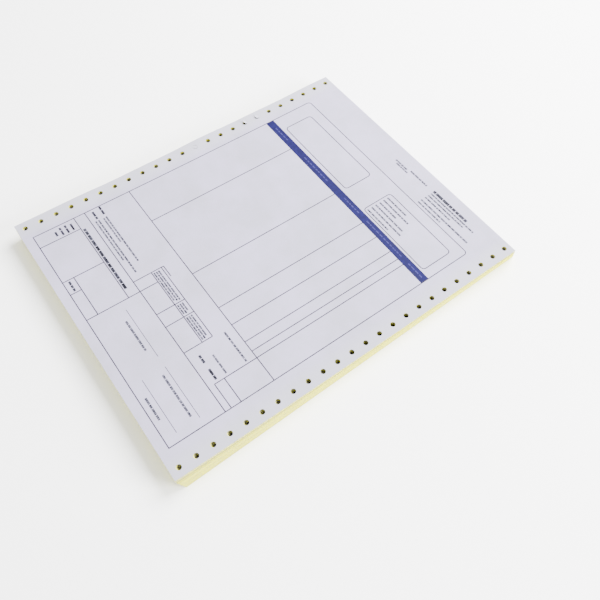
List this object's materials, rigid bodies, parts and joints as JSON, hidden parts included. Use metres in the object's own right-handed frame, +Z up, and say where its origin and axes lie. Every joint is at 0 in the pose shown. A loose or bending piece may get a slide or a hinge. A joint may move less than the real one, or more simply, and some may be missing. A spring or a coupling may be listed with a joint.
{
  "type": "fan-folded carbonless form pack",
  "caption": "Pack of continuous two-part carbonless forms, folded back and forth at its perforations, with sprocket holes along both margins",
  "frame": {"origin": "middle of the rectangle the pack covers on the table, on its underside", "axes": "+X along the web from one fold to the other, +Y across the web from margin to margin, +Z up out of the printed side"},
  "size_m": [0.309, 0.2456, 0.0143],
  "materials": {
    "white_bond": "matte",
    "yellow_copy": "matte",
    "folded_edges": "matte"
  },
  "bodies": {
    "root": {"original_ply": "white_bond", "copy_ply": "yellow_copy", "folded_pack": "folded_edges"}
  },
  "joints": []
}
